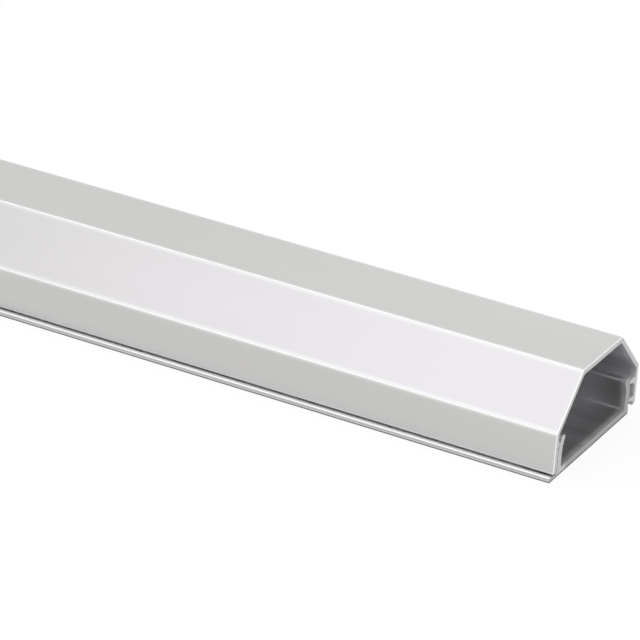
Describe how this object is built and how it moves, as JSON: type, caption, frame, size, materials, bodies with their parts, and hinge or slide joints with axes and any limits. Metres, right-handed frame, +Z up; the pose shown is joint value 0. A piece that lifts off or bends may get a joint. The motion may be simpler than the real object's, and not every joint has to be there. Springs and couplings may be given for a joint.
{
  "type": "cord cover raceway",
  "caption": "Angular aluminium cord cover: a flat base tray with clip legs and a clip-on cover with sloped edges that hides cords along a wall or a floor.",
  "frame": {"origin": "middle of the underside of the closed raceway, with the lip counted in its width", "axes": "+X along the length, +Y across from the lip side to the far side, +Z up out of the surface it is fixed to"},
  "size_m": [1.1, 0.0524, 0.026],
  "materials": {
    "base_aluminium": "satin anodised",
    "cover_aluminium": "satin anodised"
  },
  "bodies": {
    "base": {"base_tray": "base_aluminium"},
    "cover": {"cover": "cover_aluminium"}
  },
  "joints": [
    {"name": "cover_slide", "type": "slide", "parent": "base", "child": "cover", "axis": [1, 0, 0], "range_m": [0, 1.1]}
  ]
}
